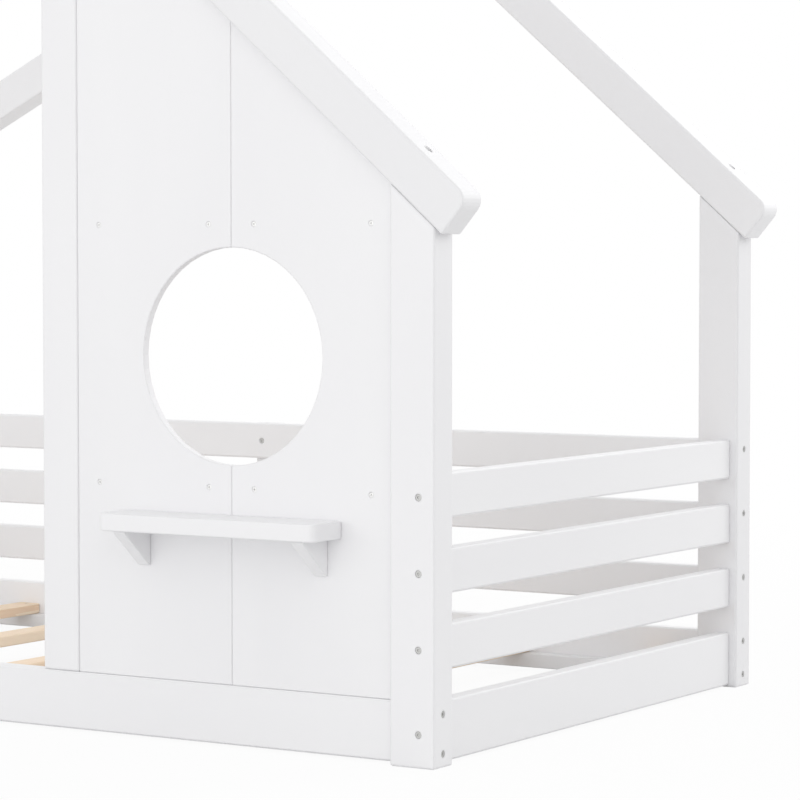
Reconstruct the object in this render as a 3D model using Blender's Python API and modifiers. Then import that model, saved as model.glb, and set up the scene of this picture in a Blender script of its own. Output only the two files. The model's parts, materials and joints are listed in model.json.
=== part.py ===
"""House floor bed: a low slatted bed inside an open house frame, with a boarded facade and a round window.

X runs along the bed, right is +X. Y runs from the front to the rear. Z is up, from the floor.
The origin is on the floor, in the middle of the overall footprint. All sizes are metres.
"""

import math

import bmesh
import bpy
from mathutils import Matrix, Vector

# Overall sizes, over the posts
BED_LENGTH = 2.024
BED_DEPTH = 1.067
# Clearance between pieces that touch, and how far a cutter runs past the face it opens
FIT_GAP = 0.0003
CUT_OVERRUN = 0.003
WELD_DISTANCE = 0.00001

# Corner posts, and the thinner facade post beside the window boards
POST_WIDTH = 0.076
POST_DEPTH = 0.054
POST_EDGE = 0.003
FACADE_POST_WIDTH = 0.0693

# Rails: one bottom rail and a stack of guard rails above it
FLOOR_GAP = 0.004
BOTTOM_RAIL_HEIGHT = 0.0915
GUARD_RAIL_HEIGHT = 0.0668
RAIL_GAP = 0.0454
RAIL_THICKNESS = 0.026
RAIL_INSET = 0.0135
RAIL_EDGE = 0.0025
GUARD_RAIL_COUNT = 3
MIDDLE_BATTEN_WIDTH = 0.060
MIDDLE_BATTEN_EDGE = 0.0015

# Roof: rafters with a square nose, rounded at its top corner
EAVE_HEIGHT = 0.885
RIGHT_PITCH = math.radians(40.8)
LEFT_PITCH = math.radians(25.9)
RAFTER_DEPTH = 0.070
NOSE_REACH = 0.049
NOSE_RADIUS = 0.022
NOSE_SEGMENTS = 6
RIDGE_OFFSET = 0.019
RIDGE_BEAM_WIDTH = 0.054
RIDGE_BEAM_HEIGHT = 0.050
RIDGE_BEAM_COVER = 0.008

# Facade boards with the round window on their seam, and the battens behind them
BOARD_WIDTH = 0.294
BOARD_THICKNESS = 0.014
BOARD_SETBACK = 0.0155
BOARD_EDGE = 0.001
WINDOW_RADIUS = 0.166
WINDOW_SEGMENTS = 24
BATTEN_HEIGHT = 0.060
BATTEN_THICKNESS = 0.018
BATTEN_EDGE = 0.0015
BATTEN_WINDOW_MARGIN = 0.005
BATTEN_EAVE_DROP = 0.028

# Shelf under the window, on two brackets
SHELF_WIDTH = 0.400
SHELF_DEPTH = 0.078
SHELF_THICKNESS = 0.027
SHELF_CORNER_RADIUS = 0.014
SHELF_CORNER_SEGMENTS = 6
SHELF_DROP = 0.0111
SHELF_EDGE = 0.002
BRACKET_THICKNESS = 0.022
BRACKET_REACH = 0.066
BRACKET_HEIGHT = 0.057
BRACKET_LIP = 0.004
BRACKET_INSET = 0.0245
BRACKET_EDGE = 0.001

# Slats and the ledgers that carry them
SLAT_COUNT = 7
SLAT_WIDTH = 0.049
SLAT_THICKNESS = 0.020
SLAT_END_SPACE = 0.1205
SLAT_EDGE = 0.002
LEDGER_TOP = 0.033
LEDGER_HEIGHT = 0.025
LEDGER_DEPTH = 0.025
LEDGER_END_SPACE = 0.045
LEDGER_EDGE = 0.001

# Socket head bolts in counterbores
SHANK_RADIUS = 0.003
HEAD_RADIUS = 0.005
HEAD_HEIGHT = 0.006
SOCKET_RADIUS = 0.0029
SOCKET_DEPTH = 0.003
COUNTERBORE_RADIUS = 0.0056
HEAD_SINK = 0.001
RAIL_BOLT_BITE = 0.040
BOTTOM_BOLT_SPREAD = 0.0293
GUARD_BOLT_RISE = 0.0165
BATTEN_BOLT_DROP = 0.021
BATTEN_BOLT_BITE = 0.009
ROOF_BOLT_SETBACK = 0.026
ROOF_BOLT_BITE = 0.040

# Countersunk wood screws
SCREW_RADIUS = 0.002
SCREW_NECK_RADIUS = 0.0024
SCREW_HEAD_RADIUS = 0.0038
SCREW_HEAD_HEIGHT = 0.003
SCREW_SINK = 0.001
FACADE_SCREW_EDGE = 0.042
FACADE_SCREW_BITE = 0.014
SHELF_SCREW_SPREAD = 0.100
SHELF_SCREW_BITE = 0.022
BRACKET_SCREW_DROPS = (0.016, 0.036)
BRACKET_SCREW_BITE = 0.013
RIDGE_SCREW_SPREAD = 0.015
RIDGE_SCREW_BITE = 0.035
SLAT_SCREW_BITE = 0.015
LEDGER_SCREW_BITE = 0.015
LEDGER_SCREW_STEP_SHARES = (-1.5, 1.5)

# Dowels
DOWEL_RADIUS = 0.003
DOWEL_LENGTH = 0.030
MITRE_DOWEL_SHARE = 0.68

# Facets of round pieces
HEAD_SEGMENTS = 12
SCREW_SEGMENTS = 8
SHANK_SEGMENTS = 6
FLAT_ANGLE = math.radians(1)
ROUND_ANGLE = math.radians(40)

# Places worked out from the sizes above
HALF_LENGTH = BED_LENGTH / 2
POST_INNER = HALF_LENGTH - POST_WIDTH
SHELF_OVERHANG = SHELF_DEPTH + FIT_GAP - BOARD_SETBACK
FRONT = (SHELF_OVERHANG - BED_DEPTH) / 2
REAR = FRONT + BED_DEPTH
BOTTOM_RAIL_TOP = FLOOR_GAP + BOTTOM_RAIL_HEIGHT
SLAT_BOTTOM = LEDGER_TOP + FIT_GAP
SLAT_TOP = SLAT_BOTTOM + SLAT_THICKNESS
BOARD_FRONT = FRONT + BOARD_SETBACK
BOARD_BACK = BOARD_FRONT + BOARD_THICKNESS
SEAM_X = POST_INNER - 1.5 * FIT_GAP - BOARD_WIDTH
FACADE_POST_RIGHT = SEAM_X - 1.5 * FIT_GAP - BOARD_WIDTH
FACADE_POST_LEFT = FACADE_POST_RIGHT - FACADE_POST_WIDTH
RIDGE_X = FACADE_POST_LEFT - RIDGE_OFFSET
RIDGE_Z = EAVE_HEIGHT + math.tan(RIGHT_PITCH) * (HALF_LENGTH - RIDGE_X)
COUNTERBORE_DEPTH = HEAD_SINK + HEAD_HEIGHT + FIT_GAP
UP = Vector((0, 0, 1))

# Finishes: colour, roughness, metallic
FINISHES = {
    "white_paint": ((0.84, 0.84, 0.85, 1), 0.45, 0),
    "pine": ((0.78, 0.58, 0.38, 1), 0.6, 0),
    "zinc_steel": ((0.52, 0.52, 0.51, 1), 0.4, 1),
}

# Bores of each piece, gathered while the fasteners are placed:
# wide ones for heads and dowels, long ones for shanks
wide_bores = {}
long_bores = {}
# Fasteners as (kind, length, frame): those fixed in the piece that holds their thread or glue,
# by that piece's name, and those that are pieces of their own
fixed = {}
loose = {}


def start_scene():
    """Clears the scene and makes the collections for the parts and their cutters."""
    for item in list(bpy.data.objects):
        bpy.data.objects.remove(item, do_unlink=True)
    made = []
    for name in ("house_floor_bed", "cutters"):
        collection = bpy.data.collections.new(name)
        bpy.context.scene.collection.children.link(collection)
        made.append(collection)
    return made


def paint(item, finish):
    """Gives a piece a material of its own in the named finish."""
    colour, roughness, metallic = FINISHES[finish]
    material = bpy.data.materials.new(item.name + "_" + finish)
    material.use_nodes = True
    material.diffuse_color = colour
    shader = material.node_tree.nodes["Principled BSDF"]
    shader.inputs["Base Color"].default_value = colour
    shader.inputs["Roughness"].default_value = roughness
    shader.inputs["Metallic"].default_value = metallic
    item.data.materials.clear()
    item.data.materials.append(material)


def mesh_from(bm, name):
    """Turns a bmesh into a mesh and frees it."""
    mesh = bpy.data.meshes.new(name)
    bm.to_mesh(mesh)
    bm.free()
    return mesh


def round_edges(item, width, segments):
    """Rounds every sharp edge of a piece."""
    bevel = item.modifiers.new("rounded edges", "BEVEL")
    bevel.width = width
    bevel.segments = segments
    bevel.limit_method = "ANGLE"
    bevel.angle_limit = ROUND_ANGLE


def box_piece(name, low, high, edge, segments=1):
    """A board: a box between two corners, placed by its centre."""
    low = Vector(low)
    high = Vector(high)
    bm = bmesh.new()
    bmesh.ops.create_cube(bm, size=1, matrix=Matrix.Diagonal((*(high - low), 1)))
    item = bpy.data.objects.new(name, mesh_from(bm, name))
    item.location = (low + high) / 2
    parts.objects.link(item)
    round_edges(item, edge, segments)
    return item


def outline_piece(name, outline, thickness, place, edge, segments=1):
    """A board sawn to an outline drawn in the XY plane of its place, with equal thickness on both sides."""
    curve = bpy.data.curves.new(name, "CURVE")
    curve.dimensions = "2D"
    curve.fill_mode = "BOTH"
    curve.extrude = thickness / 2
    spline = curve.splines.new("POLY")
    spline.points.add(len(outline) - 1)
    for point, (u, v) in zip(spline.points, outline):
        point.co = (u, v, 0, 1)
    spline.use_cyclic_u = True
    drawn = bpy.data.objects.new(name + "_outline", curve)
    drawn.matrix_world = place
    parts.objects.link(drawn)
    bpy.context.view_layer.update()
    evaluated = drawn.evaluated_get(bpy.context.evaluated_depsgraph_get())
    mesh = bpy.data.meshes.new_from_object(evaluated)
    mesh.name = name
    bm = bmesh.new()
    bm.from_mesh(mesh)
    bmesh.ops.remove_doubles(bm, verts=bm.verts, dist=WELD_DISTANCE)
    bmesh.ops.dissolve_limit(bm, angle_limit=FLAT_ANGLE, verts=bm.verts, edges=bm.edges)
    bm.to_mesh(mesh)
    bm.free()
    item = bpy.data.objects.new(name, mesh)
    item.matrix_world = drawn.matrix_world
    parts.objects.link(item)
    bpy.data.objects.remove(drawn, do_unlink=True)
    round_edges(item, edge, segments)
    return item


def front_place(x, y, z):
    """A place whose XY plane stands upright and faces the front: its Y runs up."""
    return Matrix.Translation((x, y, z)) @ Matrix.Rotation(math.pi / 2, 4, "X")


def side_place(x, y, z):
    """A place whose XY plane stands upright and faces the right: its X runs to the rear, its Y up."""
    turn = Matrix(((0, 0, 1), (1, 0, 0), (0, 1, 0)))
    return Matrix.Translation((x, y, z)) @ turn.to_4x4()


def shifted(outline, u, v):
    """An outline measured from the point (u, v)."""
    return [(a - u, b - v) for a, b in outline]


def arc(u, v, radius, start, end, segments):
    """Points of an arc about (u, v), from one angle to another, both ends included."""
    turns = [start + (end - start) * i / segments for i in range(segments + 1)]
    return [(u + radius * math.cos(turn), v + radius * math.sin(turn)) for turn in turns]


def frame_on(point, outward):
    """A frame at a point of a face, with its Z along the face's outward direction."""
    return Matrix.LocRotScale(Vector(point), UP.rotation_difference(Vector(outward)), None)


def add_cylinder(bm, frame, bottom_radius, top_radius, bottom, top, segments):
    """Adds a closed cylinder or cone frustum along the Z of a frame."""
    middle = Matrix.Translation((0, 0, (bottom + top) / 2))
    bmesh.ops.create_cone(
        bm, cap_ends=True, segments=segments, radius1=bottom_radius, radius2=top_radius,
        depth=top - bottom, matrix=frame @ middle,
    )


def roof_top(x):
    """Height of the roof's top line."""
    if x > RIDGE_X:
        return RIDGE_Z - math.tan(RIGHT_PITCH) * (x - RIDGE_X)
    return RIDGE_Z - math.tan(LEFT_PITCH) * (RIDGE_X - x)


def valley(clearance):
    """Where the undersides of the two slopes meet, a clearance below the rafters."""
    drop_right = (RAFTER_DEPTH + clearance) / math.cos(RIGHT_PITCH)
    drop_left = (RAFTER_DEPTH + clearance) / math.cos(LEFT_PITCH)
    slope_sum = math.tan(RIGHT_PITCH) + math.tan(LEFT_PITCH)
    shift = (drop_left - drop_right) / slope_sum
    return RIDGE_X + shift, RIDGE_Z - drop_right - math.tan(RIGHT_PITCH) * shift


def roof_underside(x, clearance=FIT_GAP):
    """Height under the rafters, less a clearance square to the slope."""
    peak_x, peak_z = valley(clearance)
    slope = math.tan(RIGHT_PITCH if x > peak_x else LEFT_PITCH)
    return peak_z - slope * abs(x - peak_x)


def under_roof(right, left):
    """Top outline of an upright board under the rafters, from its right side to its left."""
    peak = valley(FIT_GAP)
    points = [(right, roof_underside(right))]
    if left < peak[0] < right:
        points.append(peak)
    points.append((left, roof_underside(left)))
    return points


def rail_heights(level):
    """Bottom and top of a rail: level 0 is the bottom rail, the guard rails follow upwards."""
    if level == 0:
        return FLOOR_GAP, BOTTOM_RAIL_TOP
    bottom = BOTTOM_RAIL_TOP + RAIL_GAP * level + GUARD_RAIL_HEIGHT * (level - 1)
    return bottom, bottom + GUARD_RAIL_HEIGHT


def bore_wide(piece, frame, bottom_radius, top_radius, bottom, top, segments):
    """Notes a bore for a head or a dowel."""
    wide_bores.setdefault(piece, []).append((frame, bottom_radius, top_radius, bottom, top, segments))


def bore_long(piece, frame, radius, bottom, top):
    """Notes a bore for a shank."""
    long_bores.setdefault(piece, []).append((frame, radius, radius, bottom, top, SHANK_SEGMENTS))


def fasten(kind, length, frame, carrier, own_name):
    """Notes a fastener as a piece of its own, or as one body with its carrier."""
    if own_name:
        loose[own_name] = (kind, length, frame)
    else:
        fixed.setdefault(carrier, []).append((kind, length, frame))


def place_bolt(point, outward, length, sunk_in, carrier, own_name=None, seat=COUNTERBORE_DEPTH, rise=0):
    """A bolt whose head is sunk below a point of one piece, and whose thread bites in its carrier."""
    frame = frame_on(point, outward)
    top = rise + CUT_OVERRUN
    bore_wide(sunk_in, frame, COUNTERBORE_RADIUS, COUNTERBORE_RADIUS, -seat, top, HEAD_SEGMENTS)
    for piece in (sunk_in, carrier) if own_name else (sunk_in,):
        bore_long(piece, frame, SHANK_RADIUS + FIT_GAP, -seat - length, top)
    fasten("bolt", length, frame @ Matrix.Translation((0, 0, FIT_GAP - seat)), carrier, own_name)


def place_screw(point, outward, length, sunk_in, biting, own_name=None, carrier=None):
    """A countersunk screw through one piece, biting in the next, which carries it unless told otherwise."""
    carrier = carrier or biting
    frame = frame_on(point, outward)
    slope = (SCREW_HEAD_RADIUS - SCREW_NECK_RADIUS) / SCREW_HEAD_HEIGHT
    bottom = -(SCREW_SINK + SCREW_HEAD_HEIGHT + FIT_GAP)
    neck = SCREW_NECK_RADIUS + FIT_GAP
    mouth = neck + slope * (CUT_OVERRUN - bottom)
    bore_wide(sunk_in, frame, neck, mouth, bottom, CUT_OVERRUN, SCREW_SEGMENTS)
    for piece in (sunk_in, biting):
        if own_name or piece != carrier:
            bore_long(piece, frame, SCREW_RADIUS + FIT_GAP, -length - FIT_GAP, CUT_OVERRUN)
    placed = frame @ Matrix.Translation((0, 0, -SCREW_SINK))
    fasten("screw", length - SCREW_SINK, placed, carrier, own_name)


def place_dowel(point, axis, bored, carrier):
    """A dowel centred on a joint, glued in its carrier and fitted in a bore of the other piece."""
    frame = frame_on(point, axis)
    reach = DOWEL_LENGTH / 2 + FIT_GAP
    radius = DOWEL_RADIUS + FIT_GAP
    bore_wide(bored, frame, radius, radius, -reach, reach, SHANK_SEGMENTS)
    fasten("dowel", DOWEL_LENGTH, frame @ Matrix.Translation((0, 0, -DOWEL_LENGTH / 2)), carrier, None)


def helper(item, mesh, label, operation):
    """Cuts a helper mesh out of a piece, or joins it to the piece."""
    tool = bpy.data.objects.new(item.name + "_" + label, mesh)
    tool.display_type = "WIRE"
    tool.hide_render = True
    cutters.objects.link(tool)
    step = item.modifiers.new(label, "BOOLEAN")
    step.operation = operation
    step.solver = "EXACT"
    step.object = tool


def fit_out(item):
    """Cuts the bores noted for a piece and joins the fasteners fixed in it."""
    for label, noted in (("wide_bores", wide_bores), ("long_bores", long_bores)):
        if item.name not in noted:
            continue
        bm = bmesh.new()
        for bore in noted[item.name]:
            add_cylinder(bm, *bore)
        helper(item, mesh_from(bm, label), label, "DIFFERENCE")
    if item.name in fixed:
        bm = bmesh.new()
        for kind, length, frame in fixed[item.name]:
            add_fastener(bm, kind, length, frame)
        helper(item, mesh_from(bm, "fasteners"), "fasteners", "UNION")


def joined_mesh(name, solids, operations):
    """One closed mesh from simple solids: the first, then each next one joined to it or cut from it."""
    made = []
    for solid in solids:
        bm = bmesh.new()
        add_cylinder(bm, Matrix(), *solid)
        item = bpy.data.objects.new(name, mesh_from(bm, name))
        cutters.objects.link(item)
        made.append(item)
    for item, operation in zip(made[1:], operations):
        step = made[0].modifiers.new(operation, "BOOLEAN")
        step.operation = operation
        step.solver = "EXACT"
        step.object = item
    bpy.context.view_layer.update()
    evaluated = made[0].evaluated_get(bpy.context.evaluated_depsgraph_get())
    mesh = bpy.data.meshes.new_from_object(evaluated)
    for item in made:
        bpy.data.objects.remove(item, do_unlink=True)
    return mesh


def fastener_mesh(kind, length):
    """A fastener along Z. A bolt starts at its seat, a screw at its head's top, a dowel at its end."""
    if kind == "bolt":
        head = (HEAD_RADIUS, HEAD_RADIUS, 0, HEAD_HEIGHT, HEAD_SEGMENTS)
        socket_bottom = HEAD_HEIGHT - SOCKET_DEPTH
        shank = (SHANK_RADIUS, SHANK_RADIUS, -length, socket_bottom / 2, SHANK_SEGMENTS)
        socket = (SOCKET_RADIUS, SOCKET_RADIUS, socket_bottom, HEAD_HEIGHT + CUT_OVERRUN, SHANK_SEGMENTS)
        return joined_mesh(kind, (head, shank, socket), ("UNION", "DIFFERENCE"))
    if kind == "screw":
        head = (SCREW_NECK_RADIUS, SCREW_HEAD_RADIUS, -SCREW_HEAD_HEIGHT, 0, SCREW_SEGMENTS)
        shank = (SCREW_RADIUS, SCREW_RADIUS, -length, -SCREW_HEAD_HEIGHT / 2, SHANK_SEGMENTS)
        return joined_mesh(kind, (head, shank), ("UNION",))
    bm = bmesh.new()
    add_cylinder(bm, Matrix(), DOWEL_RADIUS, DOWEL_RADIUS, 0, length, SHANK_SEGMENTS)
    return mesh_from(bm, kind)


def add_fastener(bm, kind, length, frame):
    """Adds a copy of a fastener to a bmesh, at its frame."""
    mesh = fastener_mesh(kind, length)
    mesh.transform(frame)
    bm.from_mesh(mesh)
    bpy.data.meshes.remove(mesh)


def make_loose_fasteners():
    """The fasteners that are pieces of their own."""
    for name, (kind, length, frame) in loose.items():
        item = bpy.data.objects.new(name, fastener_mesh(kind, length))
        item.matrix_world = frame
        parts.objects.link(item)
        item.data.shade_smooth()
        item.data.set_sharp_from_angle(angle=ROUND_ANGLE)
        paint(item, "zinc_steel")


def place_rail_bolts():
    """The bolts of all rails."""
    for side, x in (("right", HALF_LENGTH), ("left", -HALF_LENGTH)):
        way = math.copysign(1, x)
        end_rail_x = x - way * (RAIL_INSET + RAIL_THICKNESS / 2)
        for row, y, out in (("front", FRONT, -1), ("rear", REAR, 1)):
            post = row + "_" + side + "_post"
            for level in range(GUARD_RAIL_COUNT + 1):
                middle = sum(rail_heights(level)) / 2
                rail = side + ("_guard_rail_%d" % level if level else "_bottom_rail")
                length = POST_DEPTH - COUNTERBORE_DEPTH + RAIL_BOLT_BITE
                place_bolt((end_rail_x, y, middle), (0, out, 0), length, post, rail)
            long_rail_y = y - out * (RAIL_INSET + RAIL_THICKNESS / 2)
            middle = sum(rail_heights(0)) / 2
            rises = [(row + "_bottom_rail", middle + BOTTOM_BOLT_SPREAD)]
            rises.append((row + "_bottom_rail", middle - BOTTOM_BOLT_SPREAD))
            if row == "rear":
                for level in range(1, GUARD_RAIL_COUNT + 1):
                    height = sum(rail_heights(level)) / 2 + GUARD_BOLT_RISE
                    rises.append(("rear_guard_rail_%d" % level, height))
            for rail, height in rises:
                length = POST_WIDTH - COUNTERBORE_DEPTH + RAIL_BOLT_BITE
                place_bolt((x, long_rail_y, height), (way, 0, 0), length, post, rail)


def place_roof_fasteners():
    """Bolts from the rafters down into the posts, ridge screws, and the dowels in the mitres."""
    peak_x, peak_z = valley(0)
    beam_x, beam_bottom = ridge_beam_place()
    for row, y, out in (("front", FRONT, -1), ("rear", REAR, 1)):
        middle = y - out * POST_DEPTH / 2
        for side, way, pitch in (("right", 1, RIGHT_PITCH), ("left", -1, LEFT_PITCH)):
            rafter = row + "_" + side + "_rafter"
            x = way * (HALF_LENGTH - ROOF_BOLT_SETBACK)
            rise = COUNTERBORE_RADIUS * math.tan(pitch)
            seat = COUNTERBORE_DEPTH + rise
            length = RAFTER_DEPTH / math.cos(pitch) - seat + ROOF_BOLT_BITE
            point = (x, middle, roof_top(x))
            post = row + "_" + side + "_post"
            place_bolt(point, UP, length, rafter, post, rafter + "_bolt", seat, rise)
            point = (beam_x + way * RIDGE_SCREW_SPREAD, y, beam_bottom + RIDGE_BEAM_HEIGHT / 2)
            place_screw(point, (0, out, 0), POST_DEPTH + RIDGE_SCREW_BITE, rafter, "ridge_beam")
        share = MITRE_DOWEL_SHARE
        point = (peak_x + share * (RIDGE_X - peak_x), middle, peak_z + share * (RIDGE_Z - peak_z))
        place_dowel(point, (1, 0, 0), row + "_right_rafter", row + "_left_rafter")


def batten_rows():
    """Heights of the two batten rows and of the window's centre between them."""
    upper = roof_underside(POST_INNER) - BATTEN_EAVE_DROP - BATTEN_HEIGHT / 2
    spread = WINDOW_RADIUS + BATTEN_WINDOW_MARGIN + BATTEN_HEIGHT / 2
    return upper, upper - spread, upper - 2 * spread


def shelf_top():
    """Height of the shelf's top face, below the lower batten."""
    return batten_rows()[2] - BATTEN_HEIGHT / 2 - SHELF_DROP


def bracket_places():
    """X of the two bracket middles."""
    spread = SHELF_WIDTH / 2 - BRACKET_INSET - BRACKET_THICKNESS / 2
    return (("left", SEAM_X - spread), ("right", SEAM_X + spread))


def ridge_beam_place():
    """X of the ridge beam's middle and height of its bottom."""
    middle = (RIDGE_X + valley(0)[0]) / 2
    corners = [roof_top(middle + way * RIDGE_BEAM_WIDTH / 2) for way in (-1, 1)]
    return middle, min(corners) - RIDGE_BEAM_COVER - RIDGE_BEAM_HEIGHT


def place_facade_fasteners():
    """Screws of the boards, shelf and brackets, and the dowels of the facade post and the battens."""
    upper, _, lower = batten_rows()
    rows = (("upper", upper), ("lower", lower))
    reaches = (("inner", FACADE_SCREW_EDGE), ("outer", BOARD_WIDTH - FACADE_SCREW_EDGE))
    for side, way in (("left", -1), ("right", 1)):
        board = "facade_board_" + side
        for column, reach in reaches:
            for row, z in rows:
                point = (SEAM_X + way * (FIT_GAP / 2 + reach), BOARD_FRONT, z)
                name = "facade_screw_%s_%s_%s" % (side, column, row)
                length = BOARD_THICKNESS + FACADE_SCREW_BITE
                place_screw(point, (0, -1, 0), length, board, "facade_batten_" + row, name)
        point = (SEAM_X + way * SHELF_SCREW_SPREAD, BOARD_BACK, shelf_top() - SHELF_THICKNESS / 2)
        place_screw(point, (0, 1, 0), BOARD_THICKNESS + SHELF_SCREW_BITE, board, "shelf_board")
    for side, x in bracket_places():
        for drop in BRACKET_SCREW_DROPS:
            point = (x, BOARD_BACK, shelf_top() - SHELF_THICKNESS - drop)
            length = BOARD_THICKNESS + BRACKET_SCREW_BITE
            place_screw(point, (0, 1, 0), length, "facade_board_" + side, "shelf_bracket_" + side)
    middle = FACADE_POST_LEFT + FACADE_POST_WIDTH / 2
    rail_y = FRONT + RAIL_INSET + RAIL_THICKNESS / 2
    foot = (middle, rail_y, BOTTOM_RAIL_TOP)
    place_dowel(foot, UP, "front_bottom_rail", "facade_post")
    head = (middle, rail_y, roof_underside(middle))
    place_dowel(head, UP, "front_right_rafter", "facade_post")
    shared_y = (BOARD_BACK + FRONT + RAIL_INSET + RAIL_THICKNESS) / 2
    for row, z in rows:
        place_dowel((POST_INNER, shared_y, z), (1, 0, 0), "front_right_post", "facade_batten_" + row)
        place_dowel((FACADE_POST_RIGHT, shared_y, z), (1, 0, 0), "facade_post", "facade_batten_" + row)


def slat_places():
    """X of each slat's middle."""
    reach = HALF_LENGTH - RAIL_INSET - RAIL_THICKNESS - SLAT_END_SPACE
    return [reach * (2 * i / (SLAT_COUNT - 1) - 1) for i in range(SLAT_COUNT)]


def place_base_fasteners():
    """Screws of slats and ledgers, and the bolts of the middle batten."""
    places = slat_places()
    pitch = places[1] - places[0]
    ledger_middle = LEDGER_TOP - LEDGER_HEIGHT / 2
    for row, face, inward in (
        ("front", FRONT + RAIL_INSET + RAIL_THICKNESS, 1),
        ("rear", REAR - RAIL_INSET - RAIL_THICKNESS, -1),
    ):
        ledger = row + "_slat_ledger"
        y = face + inward * (FIT_GAP + LEDGER_DEPTH / 2)
        for number, x in enumerate(places, 1):
            slat = "bed_slat_%d" % number
            place_screw((x, y, SLAT_TOP), UP, SLAT_THICKNESS + SLAT_SCREW_BITE, slat, ledger)
        for step in LEDGER_SCREW_STEP_SHARES:
            point = (step * pitch, face + inward * (FIT_GAP + LEDGER_DEPTH), ledger_middle)
            length = LEDGER_DEPTH + LEDGER_SCREW_BITE
            place_screw(point, (0, inward, 0), length, ledger, row + "_bottom_rail", carrier=ledger)
    length = RAIL_THICKNESS - COUNTERBORE_DEPTH + BATTEN_BOLT_BITE
    inner = REAR - RAIL_INSET - RAIL_THICKNESS
    for level in range(GUARD_RAIL_COUNT + 1):
        bottom, top = rail_heights(level)
        height = (bottom + top) / 2 if level else top - BATTEN_BOLT_DROP
        rail = "rear_guard_rail_%d" % level if level else "rear_bottom_rail"
        name = "middle_batten_bolt_%d" % (level + 1)
        place_bolt((0, inner, height), (0, -1, 0), length, rail, "rear_middle_batten", name)


def make_post(name, left, right, front, back, foot):
    """A post that stands on a height and ends under the rafters."""
    outline = [(left, foot), (right, foot)] + under_roof(right, left)
    middle = (left + right) / 2
    place = front_place(middle, (front + back) / 2, foot)
    return outline_piece(name, shifted(outline, middle, foot), back - front, place, POST_EDGE, 2)


def make_posts():
    """Four corner posts and the facade post."""
    for side, left in (("right", POST_INNER), ("left", -HALF_LENGTH)):
        for row, front in (("front", FRONT), ("rear", REAR - POST_DEPTH)):
            name = row + "_" + side + "_post"
            post = make_post(name, left, left + POST_WIDTH, front, front + POST_DEPTH, 0)
            fit_out(post)
            paint(post, "white_paint")
    front = FRONT + RAIL_INSET
    foot = BOTTOM_RAIL_TOP + FIT_GAP
    post = make_post("facade_post", FACADE_POST_LEFT, FACADE_POST_RIGHT, front, front + RAIL_THICKNESS, foot)
    fit_out(post)
    paint(post, "white_paint")


def rafter_outline(way, pitch):
    """Outline of a rafter in the XZ plane: mitre at the ridge, square nose with a rounded top corner."""
    down = Vector((way * math.cos(pitch), -math.sin(pitch)))
    square = Vector((way * math.sin(pitch), math.cos(pitch)))
    ridge = Vector((RIDGE_X, RIDGE_Z))
    peak = Vector(valley(0))
    mitre = (ridge - peak).normalized()
    step = down * (FIT_GAP / 2) / abs(down.cross(mitre))
    radius = min(NOSE_RADIUS, RAFTER_DEPTH / 2)
    reach = NOSE_REACH + radius * (math.cos(pitch) + math.sin(pitch) - 1)
    corner_x = way * (HALF_LENGTH + reach)
    corner = Vector((corner_x, roof_top(corner_x)))
    centre = corner - radius * (down + square)
    start = math.atan2(down.y, down.x)
    turn = math.pi / 2 * way
    nose = arc(centre.x, centre.y, radius, start, start + turn, NOSE_SEGMENTS)
    lower_corner = corner - square * RAFTER_DEPTH
    return [tuple(peak + step), tuple(lower_corner)] + nose + [tuple(ridge + step)]


def make_roof():
    """Four rafters and the ridge beam."""
    for side, way, pitch in (("right", 1, RIGHT_PITCH), ("left", -1, LEFT_PITCH)):
        outline = shifted(rafter_outline(way, pitch), RIDGE_X, RIDGE_Z)
        for row, middle in (("front", FRONT + POST_DEPTH / 2), ("rear", REAR - POST_DEPTH / 2)):
            place = front_place(RIDGE_X, middle, RIDGE_Z)
            rafter = outline_piece(row + "_" + side + "_rafter", outline, POST_DEPTH, place, POST_EDGE, 2)
            fit_out(rafter)
            paint(rafter, "white_paint")
    middle, bottom = ridge_beam_place()
    half = RIDGE_BEAM_WIDTH / 2
    low = (middle - half, FRONT + POST_DEPTH + FIT_GAP, bottom)
    high = (middle + half, REAR - POST_DEPTH - FIT_GAP, bottom + RIDGE_BEAM_HEIGHT)
    beam = box_piece("ridge_beam", low, high, POST_EDGE, 2)
    fit_out(beam)
    paint(beam, "white_paint")


def make_rails():
    """Bottom and guard rails on both ends and at the rear, the front bottom rail and the middle batten."""
    for level in range(GUARD_RAIL_COUNT + 1):
        bottom, top = rail_heights(level)
        label = "_guard_rail_%d" % level if level else "_bottom_rail"
        inner_faces = (HALF_LENGTH - RAIL_INSET - RAIL_THICKNESS, RAIL_INSET - HALF_LENGTH)
        for side, inner in zip(("right", "left"), inner_faces):
            low = (inner, FRONT + POST_DEPTH + FIT_GAP, bottom)
            high = (inner + RAIL_THICKNESS, REAR - POST_DEPTH - FIT_GAP, top)
            rail = box_piece(side + label, low, high, RAIL_EDGE)
            fit_out(rail)
            paint(rail, "white_paint")
        reach = POST_INNER - FIT_GAP
        for row, front in (("front", FRONT + RAIL_INSET), ("rear", REAR - RAIL_INSET - RAIL_THICKNESS)):
            if row == "front" and level:
                continue
            high = (reach, front + RAIL_THICKNESS, top)
            rail = box_piece(row + label, (-reach, front, bottom), high, RAIL_EDGE)
            fit_out(rail)
            paint(rail, "white_paint")
    half = MIDDLE_BATTEN_WIDTH / 2
    top = rail_heights(GUARD_RAIL_COUNT)[1]
    batten = box_piece(
        "rear_middle_batten", (-half, REAR - RAIL_INSET + FIT_GAP, 0), (half, REAR, top), MIDDLE_BATTEN_EDGE
    )
    fit_out(batten)
    paint(batten, "white_paint")


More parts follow.
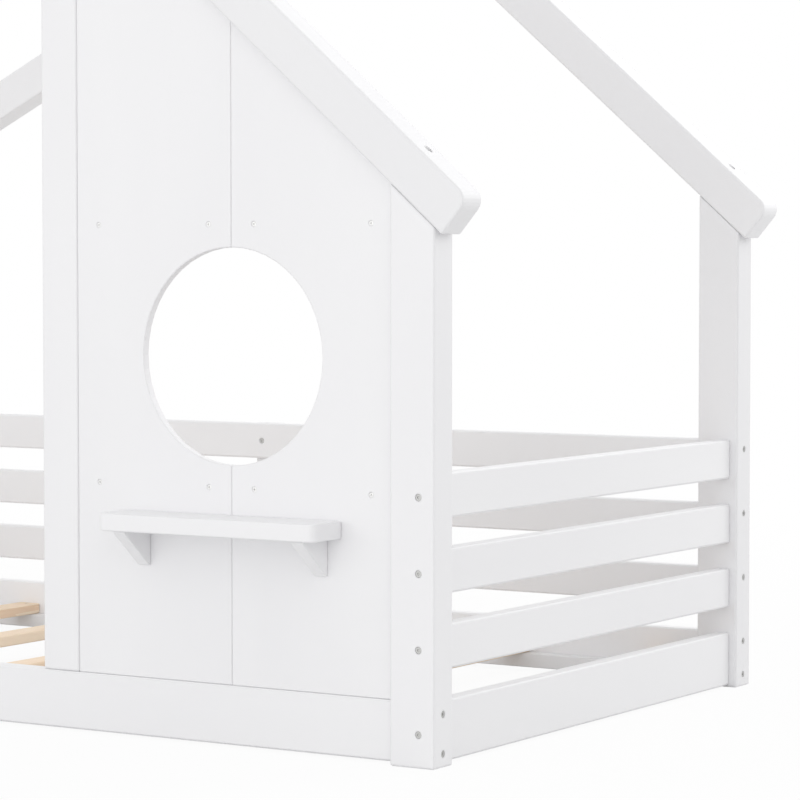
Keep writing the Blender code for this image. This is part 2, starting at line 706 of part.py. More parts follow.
def board_outline(way, bottom, window_z):
    """Outline of a facade board in the XZ plane, with its half of the window."""
    near = SEAM_X + way * FIT_GAP / 2
    far = near + way * BOARD_WIDTH
    lean = math.asin(FIT_GAP / 2 / WINDOW_RADIUS)
    low_turn = -math.pi / 2 + way * lean
    high_turn = math.pi / 2 - way * lean
    if way > 0:
        window = arc(SEAM_X, window_z, WINDOW_RADIUS, high_turn, low_turn, WINDOW_SEGMENTS)
        return [(near, bottom), (far, bottom)] + under_roof(far, near) + window
    window = arc(SEAM_X, window_z, WINDOW_RADIUS, low_turn, high_turn - 2 * math.pi, WINDOW_SEGMENTS)
    return [(far, bottom), (near, bottom)] + window + under_roof(near, far)


def make_facade():
    """The two facade boards and the battens behind them."""
    upper, window_z, lower = batten_rows()
    bottom = BOTTOM_RAIL_TOP + FIT_GAP
    middle = (BOARD_FRONT + BOARD_BACK) / 2
    for side, way in (("left", -1), ("right", 1)):
        outline = shifted(board_outline(way, bottom, window_z), SEAM_X, window_z)
        place = front_place(SEAM_X, middle, window_z)
        board = outline_piece("facade_board_" + side, outline, BOARD_THICKNESS, place, BOARD_EDGE)
        fit_out(board)
        paint(board, "white_paint")
    for label, z in (("upper", upper), ("lower", lower)):
        low = (FACADE_POST_RIGHT + FIT_GAP, BOARD_BACK + FIT_GAP, z - BATTEN_HEIGHT / 2)
        high = (POST_INNER - FIT_GAP, BOARD_BACK + FIT_GAP + BATTEN_THICKNESS, z + BATTEN_HEIGHT / 2)
        batten = box_piece("facade_batten_" + label, low, high, BATTEN_EDGE)
        fit_out(batten)
        paint(batten, "white_paint")


def make_shelf():
    """The shelf board with its round front corners, and the two brackets under it."""
    half = SHELF_WIDTH / 2
    radius = min(SHELF_CORNER_RADIUS, SHELF_DEPTH / 2)
    back = BOARD_FRONT - FIT_GAP
    front = back - SHELF_DEPTH
    quarter = math.pi / 2
    outline = [(half, back), (-half, back)]
    outline += arc(radius - half, front + radius, radius, math.pi, math.pi + quarter, SHELF_CORNER_SEGMENTS)
    outline += arc(half - radius, front + radius, radius, -quarter, 0, SHELF_CORNER_SEGMENTS)
    place = Matrix.Translation((SEAM_X, back, shelf_top() - SHELF_THICKNESS / 2))
    shelf = outline_piece("shelf_board", shifted(outline, 0, back), SHELF_THICKNESS, place, SHELF_EDGE, 2)
    fit_out(shelf)
    paint(shelf, "white_paint")
    lip = BRACKET_LIP
    outline = [(0, 0), (-BRACKET_REACH, 0), (-BRACKET_REACH, -lip)]
    outline += [(-lip, -BRACKET_HEIGHT), (0, -BRACKET_HEIGHT)]
    for side, x in bracket_places():
        place = side_place(x, back, shelf_top() - SHELF_THICKNESS - FIT_GAP)
        bracket = outline_piece("shelf_bracket_" + side, outline, BRACKET_THICKNESS, place, BRACKET_EDGE)
        fit_out(bracket)
        paint(bracket, "white_paint")


def make_base():
    """Slats on their ledgers, between the long bottom rails."""
    front_face = FRONT + RAIL_INSET + RAIL_THICKNESS + FIT_GAP
    rear_face = REAR - RAIL_INSET - RAIL_THICKNESS - FIT_GAP
    reach = POST_INNER - LEDGER_END_SPACE
    for row, front in (("front", front_face), ("rear", rear_face - LEDGER_DEPTH)):
        low = (-reach, front, LEDGER_TOP - LEDGER_HEIGHT)
        ledger = box_piece(row + "_slat_ledger", low, (reach, front + LEDGER_DEPTH, LEDGER_TOP), LEDGER_EDGE)
        fit_out(ledger)
        paint(ledger, "white_paint")
    for number, x in enumerate(slat_places(), 1):
        low = (x - SLAT_WIDTH / 2, front_face, SLAT_BOTTOM)
        slat = box_piece("bed_slat_%d" % number, low, (x + SLAT_WIDTH / 2, rear_face, SLAT_TOP), SLAT_EDGE)
        fit_out(slat)
        paint(slat, "pine")


parts, cutters = start_scene()
place_rail_bolts()
place_roof_fasteners()
place_facade_fasteners()
place_base_fasteners()
make_posts()
make_roof()
make_rails()
make_facade()
make_shelf()
make_base()
make_loose_fasteners()
bpy.context.view_layer.update()
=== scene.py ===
"""Looks of the house floor bed: painted lumber, bare pine slats and zinc plated steel, in a white studio.

Metres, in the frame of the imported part: X along the bed, Y from the front to the rear, Z up from the floor.
"""

import json
import math

import bmesh
import bpy
from mathutils import Matrix, Vector


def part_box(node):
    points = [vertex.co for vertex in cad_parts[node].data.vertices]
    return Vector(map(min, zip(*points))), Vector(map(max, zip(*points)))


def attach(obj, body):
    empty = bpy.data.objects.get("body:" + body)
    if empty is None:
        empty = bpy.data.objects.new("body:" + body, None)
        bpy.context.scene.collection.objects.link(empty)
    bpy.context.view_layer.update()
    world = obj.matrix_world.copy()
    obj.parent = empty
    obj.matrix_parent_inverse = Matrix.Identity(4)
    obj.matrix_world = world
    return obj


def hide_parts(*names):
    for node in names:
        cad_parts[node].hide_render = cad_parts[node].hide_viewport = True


# Camera fitted to the photograph
CAMERA_PLACE = (3.31607, -4.28535, 0.74807)
CAMERA_TURN = math.radians(31.979)
CAMERA_DROP = math.radians(2.661)
CAMERA_LENS = 137.26
CAMERA_SENSOR = 36
CAMERA_REACH = 100

# Socket heads of the bolts: the face stands HEAD_LIFT over the head's place, which is sunk in the posts
HEAD_SIDES = 24
HEAD_RADIUS = 0.0053
HEAD_CHAMFER = 0.0003
HEAD_SINK = 0.001
HEAD_SKIRT = 0.004
HEAD_LIFT = 0.0002
SOCKET_CORNER = 0.0023
SOCKET_DEPTH = 0.0011
SOCKET_RIM = 0.0002
SOCKET_RIM_DEPTH = 0.0003
DRILL_RADIUS = 0.0004
DRILL_DEPTH = 0.0001
# Where the bolts sit on the rails
BOTTOM_BOLT_SPREAD = 0.0293
GUARD_BOLT_RISE = 0.0165

# Pieces that the frame numbers: guard rails over a bottom rail, bolts of the middle batten, and slats
GUARD_RAILS = 3
BATTEN_BOLTS = 4
SLATS = 7

# Heads of the cross-recess screws. The face and the skirt's lower end have a share of the edge's radius.
SCREW_HEAD_RADIUS = 0.0039
SCREW_FACE_SHARE = 0.93
SCREW_SKIRT_SHARE = 0.9
SCREW_EDGE = 0.0003
SCREW_SINK = 0.001
CROSS_REACH = 0.0019
CROSS_WIDTH = 0.00045
CROSS_LIP = 0.00005
# Shares of the cross's reach and width that are left halfway down and at the bottom of the recess
HALFWAY_REACH_SHARE = 0.85
HALFWAY_WIDTH_SHARE = 0.95
BOTTOM_REACH_SHARE = 0.5
BOTTOM_WIDTH_SHARE = 0.8
# Of the sunk screws: the face over the head's place, the recess's depth, and how far down the head goes
SUNK_SCREW_TOP = 0.0007
SUNK_SCREW_RECESS = 0.0006
SUNK_SCREW_SKIRT = 0.0003
# Where the sunk screws sit
SHELF_SCREW_SPREAD = 0.100
BRACKET_SCREW_DROPS = (0.016, 0.036)
RIDGE_SCREW_SPREAD = 0.015
LEDGER_SCREW_STEPS = (-1.5, 1.5)
LEDGER_SIDE = 0.025

# Facade screws: head, neck and recess, then the tip and the thread
FACADE_HEAD = 0.003
FACADE_NECK = 0.0023
FACADE_RECESS = 0.0018
TIP_RADIUS = 0.0003
TIP_LENGTH = 0.004
CORE_RADIUS = 0.0014
CREST_RADIUS = 0.0019
CREST_RISE = 0.0005
THREAD_START = 0.0045
THREAD_PITCH = 0.0011
THREAD_MARGIN = 0.005

SHARP_ANGLE = math.radians(35)
UP = Vector((0, 0, 1))

# Roof slopes, along which the grain of the rafters runs
RIGHT_PITCH = math.radians(40.8)
LEFT_PITCH = math.radians(25.9)

# White paint: two tones that drift along a board, the streaks of the grain, and the ends
PAINT_LIGHT = (0.868, 0.866, 0.876)
PAINT_SHADE = (0.846, 0.843, 0.856)
PAINT_STREAK = (0.835, 0.831, 0.842)
PAINT_END = (0.855, 0.853, 0.865)
# How much the boards differ from each other, along a wave with this step from board to board
PAINT_DRIFT = 0.002
PAINT_DRIFT_STEP = 7.3
# Painted shade and light: boards made a little darker or lighter than the rest where shade or light falls on
# them
PAINTED_LIGHT_AND_SHADE_TONES = {"rear_right_post": -0.04, "rear_bottom_rail": 0.05}
# Painted shade and light on the wide faces only, for the boards listed here
WIDE_FACE_PAINTED_LIGHT_AND_SHADE = {"front_right_rafter": -0.045, "rear_right_post": 0.02}
# Its textures, as scales per metre along the board and across it
PAINT_TONE_SCALE = (1.2, 5, 5)
PAINT_GRAIN_SCALE = (5, 130, 130)
PAINT_PORE_SCALE = (40, 900, 900)
# The span of its roughness, the radius of its soft edges and the height of its grain
PAINT_ROUGHNESS = (0.42, 0.50)
PAINT_EDGE = 0.0022
PAINT_RELIEF = 0.0002

# Pine: heartwood and sapwood, a growth line from early to late wood, fibres and knots
PINE_HEART = (0.90, 0.72, 0.545)
PINE_SAP = (0.93, 0.79, 0.63)
PINE_EARLY = (0.93, 0.79, 0.62)
PINE_MIDDLE = (0.91, 0.735, 0.55)
PINE_LATE = (0.76, 0.51, 0.33)
PINE_FIBRE = (0.80, 0.58, 0.40)
KNOT_HALO = (0.76, 0.54, 0.34)
KNOT_HEART = (0.40, 0.22, 0.11)
# Its textures, roughness, edges and grain, given as for the paint
PINE_WAVER_SCALE = (2.2, 14, 14)
PINE_GROWTH_SCALE = (0.9, 26, 26)
PINE_FIBRE_SCALE = (14, 420, 420)
PINE_KNOT_SCALE = (2.3, 22, 22)
PINE_ROUGHNESS = (0.52, 0.70)
PINE_EDGE = 0.0015
PINE_RELIEF = 0.0003

WOOD_IOR = 1.45
# How far the textures of a board are shifted from those of the board before it
TEXTURE_STEP = (3.7, 1.3, 2.1)

# Plated steel: the dark and the light of its blotches and the span of its roughness, dull and bright
ZINC_TONES = ((0.45, 0.45, 0.44), (0.59, 0.59, 0.58))
ZINC_ROUGHNESS = (0.34, 0.48)
BRIGHT_TONES = ((0.74, 0.74, 0.73), (0.87, 0.87, 0.86))
BRIGHT_ROUGHNESS = (0.38, 0.5)
STEEL_BLOTCH_SCALE = 900
STEEL_FINE_SCALE = 5200
STEEL_RELIEF = 0.00003

# The sockets of a Mix node in its colour mode
MIX_FACTOR, MIX_FIRST, MIX_SECOND = 0, 6, 7
MIX_RESULT = 2

# Light: an even white surround, soft lamps in front to the left, low down and to the right, and two high
# behind. Each lamp is (name, place, target, size, watts).
WORLD_STRENGTH = 0.898
LAMPS = (
    ("front_left_softbox", (-2.5, -6.0, 1.6), (0.2, 0, 0.6), (4.0, 3.0), 24),
    ("front_low_strip", (0.8, -7.0, 0.6), (0.5, 0, 0.2), (5.0, 1.0), 52),
    ("front_right_softbox", (4.0, -4.0, 3.5), (0.6, 0, 0.4), (2.5, 2.5), 13),
    ("rear_right_softbox", (3.5, 4.5, 3.0), (0.6, 0.3, 0.4), (3.0, 3.0), 68),
    ("rear_high_softbox", (0.5, 4.5, 4.0), (0.5, 0, 0.4), (4.0, 3.0), 31),
)
# The floor, a hair below the feet. It glows white by a share near the bed, and wholly past the far radius.
FLOOR_SIZE = 60
FLOOR_DROP = 0.0002
FLOOR_COLOUR = (0.75, 0.75, 0.75, 1)
FLOOR_GLOW_SHARE = 0.945
FLOOR_NEAR = 1.6
FLOOR_FAR = 4.0
WHITE = (1, 1, 1, 1)


class Nodes:
    """Builds a node tree a line at a time."""

    def __init__(self, tree):
        self.tree = tree
        self.tree.nodes.clear()

    def add(self, kind, inputs=None, **settings):
        """Adds a node. Inputs are values, or outputs of other nodes."""
        node = self.tree.nodes.new(kind)
        for key, value in settings.items():
            setattr(node, key, value)
        for key, value in (inputs or {}).items():
            if isinstance(value, bpy.types.NodeSocket):
                self.tree.links.new(value, node.inputs[key])
            else:
                node.inputs[key].default_value = value
        return node

    def noise(self, vector, scale, detail, roughness=0.5, distortion=0):
        """A noise texture's value."""
        values = {
            "Vector": vector, "Scale": scale, "Detail": detail,
            "Roughness": roughness, "Distortion": distortion,
        }
        return self.add("ShaderNodeTexNoise", values).outputs["Fac"]

    def ramp(self, factor, stops):
        """A smooth colour ramp through (position, colour) stops."""
        node = self.add("ShaderNodeValToRGB", {"Fac": factor})
        node.color_ramp.interpolation = "EASE"
        elements = node.color_ramp.elements
        while len(elements) < len(stops):
            elements.new(1)
        for element, (position, colour) in zip(elements, stops):
            element.position = position
            element.color = (*colour, 1)
        return node.outputs["Color"]

    def span(self, value, low, high, from_low=0, from_high=1):
        """Maps a value from one range to another."""
        values = {
            "Value": value, "From Min": from_low, "From Max": from_high,
            "To Min": low, "To Max": high,
        }
        return self.add("ShaderNodeMapRange", values).outputs["Result"]

    def maths(self, operation, *values):
        """A maths node's result."""
        return self.add("ShaderNodeMath", dict(enumerate(values)), operation=operation).outputs["Value"]

    def blend(self, factor, first, second, mode="MIX"):
        """Mixes two colours, each an output or three numbers."""
        inputs = {MIX_FACTOR: factor}
        for key, colour in ((MIX_FIRST, first), (MIX_SECOND, second)):
            inputs[key] = (*colour, 1) if isinstance(colour, tuple) else colour
        return self.add("ShaderNodeMix", inputs, data_type="RGBA", blend_type=mode).outputs[MIX_RESULT]

    def stretched(self, vector, scale):
        """Coordinates scaled by a factor on each axis."""
        return self.add("ShaderNodeMapping", {"Vector": vector, "Scale": scale}).outputs["Vector"]

    def turned(self, vector, turn):
        """Coordinates or a direction, turned."""
        return self.add("ShaderNodeMapping", {"Vector": vector, "Rotation": turn}).outputs["Vector"]

    def lengthwise(self, turn, seed):
        """Coordinates in metres with X along the piece, shifted to a place of their own."""
        place = self.turned(self.add("ShaderNodeTexCoord").outputs["Object"], turn)
        shift = tuple(step * seed for step in TEXTURE_STEP)
        return self.add("ShaderNodeMapping", {"Vector": place, "Location": shift}).outputs["Vector"]

    def seen(self):
        """One for rays that show a surface, directly, mirrored or through glass, and zero for the rest."""
        ray = self.add("ShaderNodeLightPath")
        seen = self.maths("MAXIMUM", ray.outputs["Is Camera Ray"], ray.outputs["Is Glossy Ray"])
        return self.maths("MAXIMUM", seen, ray.outputs["Is Transmission Ray"])

    def finish(self, shader):
        """Ends the tree in a material output."""
        self.add("ShaderNodeOutputMaterial", {"Surface": shader})

    def finish_wood(self, colour, rough, height, edge, strength, distance):
        """Ends the tree in a wooden surface with soft edges, whose grain stands up a little."""
        normal = self.add("ShaderNodeBevel", {"Radius": edge}, samples=4).outputs["Normal"]
        relief = {"Strength": strength, "Distance": distance, "Height": height, "Normal": normal}
        normal = self.add("ShaderNodeBump", relief).outputs["Normal"]
        surface = {"Base Color": colour, "Roughness": rough, "IOR": WOOD_IOR, "Normal": normal}
        self.finish(self.add("ShaderNodeBsdfPrincipled", surface).outputs["BSDF"])


def new_material(name):
    """A material with an empty node tree, and the builder for it."""
    material = bpy.data.materials.new(name)
    material.use_nodes = True
    return material, Nodes(material.node_tree)


def shifted(colour, level):
    """A colour made lighter or darker by a level."""
    return tuple(part + level for part in colour)


def painted_wood(name, turn, seed, painted_light_level, wide_face_painted_light):
    """White satin paint on planed lumber: the grain shows through it faintly, and the ends have one tone."""
    material, make = new_material(name)
    along = make.lengthwise(turn, seed)
    tone = make.noise(make.stretched(along, PAINT_TONE_SCALE), 1, 2)
    grain = make.noise(make.stretched(along, PAINT_GRAIN_SCALE), 1, 4, 0.6, 0.4)
    pores = make.noise(make.stretched(along, PAINT_PORE_SCALE), 1, 2, 0.7)
    # level: a random drift from board to board, plus the painted shade or light given to some boards
    level = PAINT_DRIFT * math.sin(seed * PAINT_DRIFT_STEP) + painted_light_level
    drift = make.span(tone, 0, 1, 0.3, 0.7)
    colour = make.blend(drift, shifted(PAINT_SHADE, level), shifted(PAINT_LIGHT, level))
    streak = make.span(grain, 0, 0.35, 0.62, 0.8)
    colour = make.blend(streak, colour, shifted(PAINT_STREAK, level))
    facing = make.turned(make.add("ShaderNodeTexCoord").outputs["Normal"], turn)
    facing = make.add("ShaderNodeSeparateXYZ", {"Vector": facing})
    # painted shade or light on the wide faces of some boards: their colour is made darker or lighter there
    wide_face = make.span(make.maths("ABSOLUTE", facing.outputs["Y"]), 0, 1, 0.6, 0.8)
    colour = make.blend(wide_face, colour, (1 + wide_face_painted_light,) * 3, "MULTIPLY")
    end_grain = make.span(make.maths("ABSOLUTE", facing.outputs["X"]), 0, 1, 0.75, 0.95)
    colour = make.blend(end_grain, colour, shifted(PAINT_END, level))
    rough = make.span(grain, *PAINT_ROUGHNESS)
    height = make.maths("ADD", grain, make.maths("MULTIPLY", pores, 0.35))
    make.finish_wood(colour, rough, height, edge=PAINT_EDGE, strength=0.10, distance=PAINT_RELIEF)
    return material


def bare_pine(name, turn, seed):
    """Sanded pine: wavering growth lines, pale sapwood, fibres and a few knots."""
    material, make = new_material(name)
    along = make.lengthwise(turn, seed)
    waver = make.noise(make.stretched(along, PINE_WAVER_SCALE), 1, 2)
    lines = make.add("ShaderNodeTexWave", {
        "Vector": make.stretched(along, PINE_GROWTH_SCALE), "Scale": 1.6, "Distortion": 7, "Detail": 3,
        "Detail Scale": 0.7, "Detail Roughness": 0.55,
    }, wave_type="BANDS", bands_direction="Y", wave_profile="SAW").outputs["Fac"]
    fibre = make.noise(make.stretched(along, PINE_FIBRE_SCALE), 1, 3, 0.65)
    base = make.ramp(waver, ((0.3, PINE_HEART), (0.7, PINE_SAP)))
    growth = make.ramp(lines, ((0.0, PINE_EARLY), (0.62, PINE_MIDDLE), (0.96, PINE_LATE)))
    colour = make.blend(0.5, base, growth)
    colour = make.blend(make.span(fibre, 0, 0.25, 0.5, 0.8), colour, PINE_FIBRE)
    spots = make.add("ShaderNodeTexVoronoi", {
        "Vector": make.stretched(along, PINE_KNOT_SCALE), "Scale": 1, "Randomness": 1,
    }, feature="F1").outputs["Distance"]
    knot = make.span(spots, 1, 0, 0.10, 0.17)
    halo = make.span(spots, 0.45, 0, 0.16, 0.34)
    colour = make.blend(halo, colour, KNOT_HALO)
    colour = make.blend(knot, colour, KNOT_HEART)
    rough = make.span(fibre, *PINE_ROUGHNESS)
    height = make.maths("ADD", make.maths("MULTIPLY", fibre, 0.6), make.maths("MULTIPLY", lines, 0.4))
    make.finish_wood(colour, rough, height, edge=PINE_EDGE, strength=0.35, distance=PINE_RELIEF)
    return material


def plated_steel(name, tones, roughness):
    """Plated steel with slight blotches and a fine unevenness in the plating."""
    material, make = new_material(name)
    place = make.add("ShaderNodeTexCoord").outputs["Object"]
    blotch = make.noise(place, STEEL_BLOTCH_SCALE, 3)
    fine = make.noise(place, STEEL_FINE_SCALE, 2)
    dark, light = tones
    colour = make.ramp(blotch, ((0.3, dark), (0.75, light)))
    rough = make.span(blotch, *roughness)
    bump = make.add("ShaderNodeBump", {"Strength": 0.2, "Distance": STEEL_RELIEF, "Height": fine})
    shader = make.add("ShaderNodeBsdfPrincipled", {
        "Base Color": colour, "Metallic": 0.9, "Roughness": rough, "Normal": bump.outputs["Normal"],
    })
    make.finish(shader.outputs["BSDF"])
    return material


def set_material(item, material):
    """Puts one material in every slot of a piece."""
    if not item.material_slots:
        item.data.materials.append(material)
    for slot in item.material_slots:
        slot.material = material


def long_turn(name):
    """Rotation that brings a board's length onto X."""
    if name.endswith("right_rafter"):
        return (0, -RIGHT_PITCH, 0)
    if name.endswith("left_rafter"):
        return (0, LEFT_PITCH, 0)
    low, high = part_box(name)
    reach = [b - a for a, b in zip(low, high)]
    if reach[2] == max(reach):
        return (0, math.pi / 2, 0)
    if reach[1] == max(reach):
        return (0, 0, -math.pi / 2)
    return (0, 0, 0)


def ring_piece(name, rings, placings, material):
    """One object made of copies of a closed form given as rings of equal count, each (height, points)."""
    bm = bmesh.new()
    for placing in placings:
        made = []
        for height, points in rings:
            made.append([bm.verts.new(placing @ Vector((u, v, height))) for u, v in points])
        for lower, upper in zip(made, made[1:]):
            for i in range(len(lower)):
                j = (i + 1) % len(lower)
                bm.faces.new((lower[i], lower[j], upper[j], upper[i]))
        bm.faces.new(list(reversed(made[0])))
        bm.faces.new(made[-1])
    bmesh.ops.recalc_face_normals(bm, faces=bm.faces)
    mesh = bpy.data.meshes.new(name)
    bm.to_mesh(mesh)
    bm.free()
    piece = bpy.data.objects.new(name, mesh)
    bpy.context.scene.collection.objects.link(piece)
    mesh.shade_smooth()
    mesh.set_sharp_from_angle(angle=SHARP_ANGLE)
    set_material(piece, material)
    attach(piece, "root")
    return piece


def circle(radius):
    """Points round a circle."""
    turns = [2 * math.pi * i / HEAD_SIDES for i in range(HEAD_SIDES)]
    return [(radius * math.cos(turn), radius * math.sin(turn)) for turn in turns]


def hexagon(corner):
    """Points round a hexagon with corners at 30 degrees and every 60 on, as many as a circle has."""
    points = []
    for i in range(HEAD_SIDES):
        turn = 2 * math.pi * i / HEAD_SIDES
        lean = (turn + math.pi / 6) % (math.pi / 3) - math.pi / 6
        radius = corner * math.cos(math.pi / 6) / math.cos(lean)
        points.append((radius * math.cos(turn), radius * math.sin(turn)))
    return points


def cross(reach, width):
    """Points round a cross recess, six to a quarter, as many as a circle has."""
    half = (reach + width) / 2
    quarter = [(reach, 0), (reach, width), (half, width), (width, width), (width, half), (width, reach)]
    points = []
    for turn in range(4):
        for u, v in quarter:
            for _ in range(turn):
                u, v = -v, u
            points.append((u, v))
    return points


def bolt_head_rings():
    """A socket head: skirt, chamfer, face, socket walls and the drilled bottom of the socket."""
    return [
        (-HEAD_SKIRT, circle(HEAD_RADIUS)),
        (HEAD_LIFT - HEAD_CHAMFER, circle(HEAD_RADIUS)),
        (HEAD_LIFT, circle(HEAD_RADIUS - HEAD_CHAMFER)),
        (HEAD_LIFT, hexagon(SOCKET_CORNER + SOCKET_RIM)),
        (HEAD_LIFT - SOCKET_RIM_DEPTH, hexagon(SOCKET_CORNER)),
        (HEAD_LIFT - SOCKET_DEPTH, hexagon(SOCKET_CORNER)),
        (HEAD_LIFT - SOCKET_DEPTH - DRILL_DEPTH, circle(DRILL_RADIUS)),
    ]


def screw_head_rings(top, recess, skirt):
    """A countersunk head with a cross recess that narrows as it goes down."""
    return [
        (-skirt, circle(SCREW_HEAD_RADIUS * SCREW_SKIRT_SHARE)),
        (top - SCREW_EDGE, circle(SCREW_HEAD_RADIUS)),
        (top, circle(SCREW_HEAD_RADIUS * SCREW_FACE_SHARE)),
        (top + CROSS_LIP, cross(CROSS_REACH, CROSS_WIDTH)),
        (top - recess / 2, cross(CROSS_REACH * HALFWAY_REACH_SHARE, CROSS_WIDTH * HALFWAY_WIDTH_SHARE)),
        (top - recess, cross(CROSS_REACH * BOTTOM_REACH_SHARE, CROSS_WIDTH * BOTTOM_WIDTH_SHARE)),
    ]


def frame_on(point, outward, lift):
    """A frame over a point of a face, with its Z along the outward direction."""
    turned = Matrix.LocRotScale(Vector(point), UP.rotation_difference(Vector(outward)), None)
    return turned @ Matrix.Translation((0, 0, lift))


def middle(name, axis):
    """Middle of a node's box on an axis."""
    low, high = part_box(name)
    return (low[axis] + high[axis]) / 2


def rail_bolt_places():
    """Places of the bolts that hold the rails, seen in the outer faces of the posts."""
    places = []
    for side, way in (("right", 1), ("left", -1)):
        for row, out in (("front", -1), ("rear", 1)):
            low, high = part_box(row + "_" + side + "_post")
            outer_y = high[1] if out > 0 else low[1]
            outer_x = high[0] if way > 0 else low[0]
            for level in range(GUARD_RAILS + 1):
                rail = side + ("_guard_rail_%d" % level if level else "_bottom_rail")
                places.append(((middle(rail, 0), outer_y, middle(rail, 2)), (0, out, 0)))
            rail = row + "_bottom_rail"
            for rise in (-BOTTOM_BOLT_SPREAD, BOTTOM_BOLT_SPREAD):
                places.append(((outer_x, middle(rail, 1), middle(rail, 2) + rise), (way, 0, 0)))
            if row == "rear":
                for level in range(1, GUARD_RAILS + 1):
                    rail = "rear_guard_rail_%d" % level
                    point = (outer_x, middle(rail, 1), middle(rail, 2) + GUARD_BOLT_RISE)
                    places.append((point, (way, 0, 0)))
    return [frame_on(point, outward, -HEAD_SINK) for point, outward in places]


def own_bolt_places():
    """Places of the bolts that are nodes of their own, from their heads."""
    places = []
    for row in ("front", "rear"):
        for side in ("right", "left"):
            name = row + "_" + side + "_rafter_bolt"
            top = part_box(name)[1][2]
            places.append(frame_on((middle(name, 0), middle(name, 1), top), (0, 0, 1), 0))
    for number in range(1, BATTEN_BOLTS + 1):
        name = "middle_batten_bolt_%d" % number
        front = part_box(name)[0][1]
        places.append(frame_on((middle(name, 0), front, middle(name, 2)), (0, -1, 0), 0))
    return places


def slat_screw_places():
    """Points and directions of the screws of the slats, and of those of the ledgers below them."""
    places = []
    slats = [middle("bed_slat_%d" % number, 0) for number in range(1, SLATS + 1)]
    pitch = slats[1] - slats[0]
    low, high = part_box("bed_slat_1")
    for slat_end, inward in ((low[1], 1), (high[1], -1)):
        for x in slats:
            places.append(((x, slat_end + inward * LEDGER_SIDE / 2, high[2]), (0, 0, 1)))
        for step in LEDGER_SCREW_STEPS:
            point = (step * pitch, slat_end + inward * LEDGER_SIDE, low[2] - LEDGER_SIDE / 2)
            places.append((point, (0, inward, 0)))
    return places


def shelf_screw_places():
    """Points and directions of the screws of the shelf and its brackets, behind the facade boards."""
    places = []
    board_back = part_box("facade_board_left")[1][1]
    for way in (-1, 1):
        point = (middle("shelf_board", 0) + way * SHELF_SCREW_SPREAD, board_back, middle("shelf_board", 2))
        places.append((point, (0, 1, 0)))
    shelf_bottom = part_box("shelf_board")[0][2]
    for side in ("left", "right"):
        for drop in BRACKET_SCREW_DROPS:
            point = (middle("shelf_bracket_" + side, 0), board_back, shelf_bottom - drop)
            places.append((point, (0, 1, 0)))
    return places


def ridge_screw_places():
    """Points and directions of the screws of the ridge beam, in the outer faces of the right rafters."""
    places = []
    for row, out in (("front", -1), ("rear", 1)):
        low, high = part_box(row + "_right_rafter")
        face = high[1] if out > 0 else low[1]
        for way in (-1, 1):
            point = (middle("ridge_beam", 0) + way * RIDGE_SCREW_SPREAD, face, middle("ridge_beam", 2))
            places.append((point, (0, out, 0)))
    return places


def sunk_screw_places():
    """Places of the screws that are one solid with the piece that holds their thread."""
    places = slat_screw_places() + shelf_screw_places() + ridge_screw_places()
    return [frame_on(point, outward, -SCREW_SINK) for point, outward in places]


def facade_screw(name, material):
    """A countersunk screw with a cross recess and a thread, in place of a facade screw of the frame."""
    low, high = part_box(name)
    point = (middle(name, 0), low[1], middle(name, 2))
    length = high[1] - low[1]
    rings = [(-length, circle(TIP_RADIUS)), (-length + TIP_LENGTH, circle(CORE_RADIUS))]
    for i in range(int((length - FACADE_HEAD - THREAD_MARGIN) / THREAD_PITCH)):
        height = -length + THREAD_START + i * THREAD_PITCH
        rings += [(height, circle(CORE_RADIUS)), (height + CREST_RISE, circle(CREST_RADIUS))]
    rings.append((-FACADE_HEAD, circle(FACADE_NECK)))
    rings += screw_head_rings(0, FACADE_RECESS, FACADE_HEAD)[1:]
    piece = ring_piece(name + "_detail", rings, [frame_on(point, (0, -1, 0), 0)], material)
    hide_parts(name)


def make_floor():
    """A white floor that keeps a pale shadow, and reads as the white of the studio elsewhere."""
    bpy.ops.mesh.primitive_plane_add(size=FLOOR_SIZE, location=(0, 0, -FLOOR_DROP))
    floor = bpy.context.object
    floor.name = "studio_floor"
    material, make = new_material("studio_floor")
    seen = make.seen()
    matt = make.add("ShaderNodeBsdfDiffuse", {"Color": FLOOR_COLOUR}).outputs["BSDF"]
    glow = make.add("ShaderNodeEmission", {"Color": WHITE, "Strength": 1}).outputs["Emission"]
    place = make.add("ShaderNodeTexCoord").outputs["Object"]
    reach = make.add("ShaderNodeVectorMath", {0: place}, operation="LENGTH").outputs["Value"]
    glowing = make.span(reach, FLOOR_GLOW_SHARE, 1, FLOOR_NEAR, FLOOR_FAR)
    share = make.maths("MULTIPLY", seen, glowing)
    make.finish(make.add("ShaderNodeMixShader", {0: share, 1: matt, 2: glow}).outputs["Shader"])
    floor.data.materials.append(material)


def make_light():
    """The world and the lamps."""
    world = bpy.data.worlds.new("studio")
    bpy.context.scene.world = world
    world.use_nodes = True
    make = Nodes(world.node_tree)
    strength = make.span(make.seen(), WORLD_STRENGTH, 1)
    sky = make.add("ShaderNodeBackground", {"Color": WHITE, "Strength": strength})
    make.add("ShaderNodeOutputWorld", {"Surface": sky.outputs["Background"]})
    for name, place, target, size, watts in LAMPS:
        lamp = bpy.data.lights.new(name, "AREA")
        lamp.shape = "RECTANGLE"
        lamp.size, lamp.size_y = size
        lamp.energy = watts
        item = bpy.data.objects.new(name, lamp)
        item.location = place
        item.rotation_euler = (Vector(target) - Vector(place)).to_track_quat("-Z", "Y").to_euler()
        item.visible_camera = False
        bpy.context.scene.collection.objects.link(item)


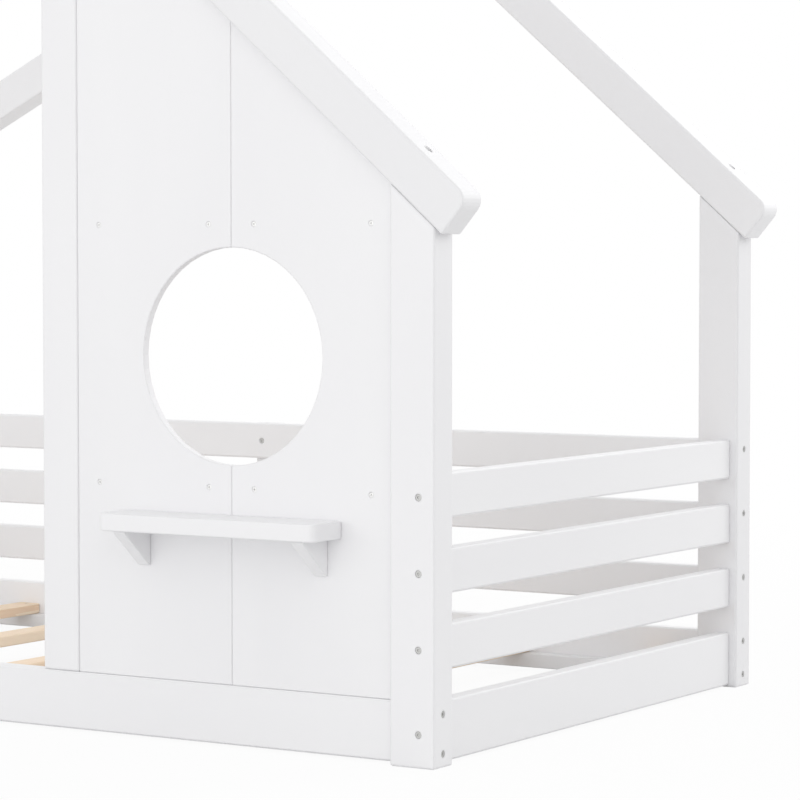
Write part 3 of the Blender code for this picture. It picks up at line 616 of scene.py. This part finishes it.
def make_camera():
    """The photograph's camera."""
    data = bpy.data.cameras.new("camera")
    data.sensor_width = CAMERA_SENSOR
    data.lens = CAMERA_LENS
    data.clip_end = CAMERA_REACH
    camera = bpy.data.objects.new("camera", data)
    camera.location = CAMERA_PLACE
    camera.rotation_euler = (math.pi / 2 - CAMERA_DROP, 0, CAMERA_TURN)
    bpy.context.scene.collection.objects.link(camera)
    bpy.context.scene.camera = camera


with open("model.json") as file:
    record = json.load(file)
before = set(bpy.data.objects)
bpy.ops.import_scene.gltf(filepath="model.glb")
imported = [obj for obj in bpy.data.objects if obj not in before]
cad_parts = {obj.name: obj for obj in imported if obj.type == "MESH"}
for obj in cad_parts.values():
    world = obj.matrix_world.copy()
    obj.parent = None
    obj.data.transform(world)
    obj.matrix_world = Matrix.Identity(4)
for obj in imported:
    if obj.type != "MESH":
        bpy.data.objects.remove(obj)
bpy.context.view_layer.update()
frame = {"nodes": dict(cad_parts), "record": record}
bpy.context.scene.view_settings.view_transform = "Standard"
make_camera()

zinc_steel = plated_steel("zinc_steel", ZINC_TONES, ZINC_ROUGHNESS)
bright_steel = plated_steel("bright_steel", BRIGHT_TONES, BRIGHT_ROUGHNESS)
slots = {entry["node"]: entry["material_slot"] for entry in frame["record"]["subparts"]}
for number, (name, item) in enumerate(sorted(frame["nodes"].items())):
    if slots[name] == "white_paint":
        # the tones are painted shade or light, for the whole board and for its wide faces
        tones = PAINTED_LIGHT_AND_SHADE_TONES.get(name, 0), WIDE_FACE_PAINTED_LIGHT_AND_SHADE.get(name, 0)
        set_material(item, painted_wood(name + "_paint", long_turn(name), number, *tones))
    elif slots[name] == "pine":
        set_material(item, bare_pine(name + "_pine", long_turn(name), number))
    else:
        set_material(item, zinc_steel)

sunk_head = screw_head_rings(SUNK_SCREW_TOP, SUNK_SCREW_RECESS, SUNK_SCREW_SKIRT)
ring_piece("rail_bolt_heads", bolt_head_rings(), rail_bolt_places(), zinc_steel)
ring_piece("roof_and_batten_bolt_heads", bolt_head_rings(), own_bolt_places(), zinc_steel)
ring_piece("sunk_screw_heads", sunk_head, sunk_screw_places(), zinc_steel)
for name in sorted(frame["nodes"]):
    if name.startswith("facade_screw"):
        facade_screw(name, bright_steel)

make_floor()
make_light()
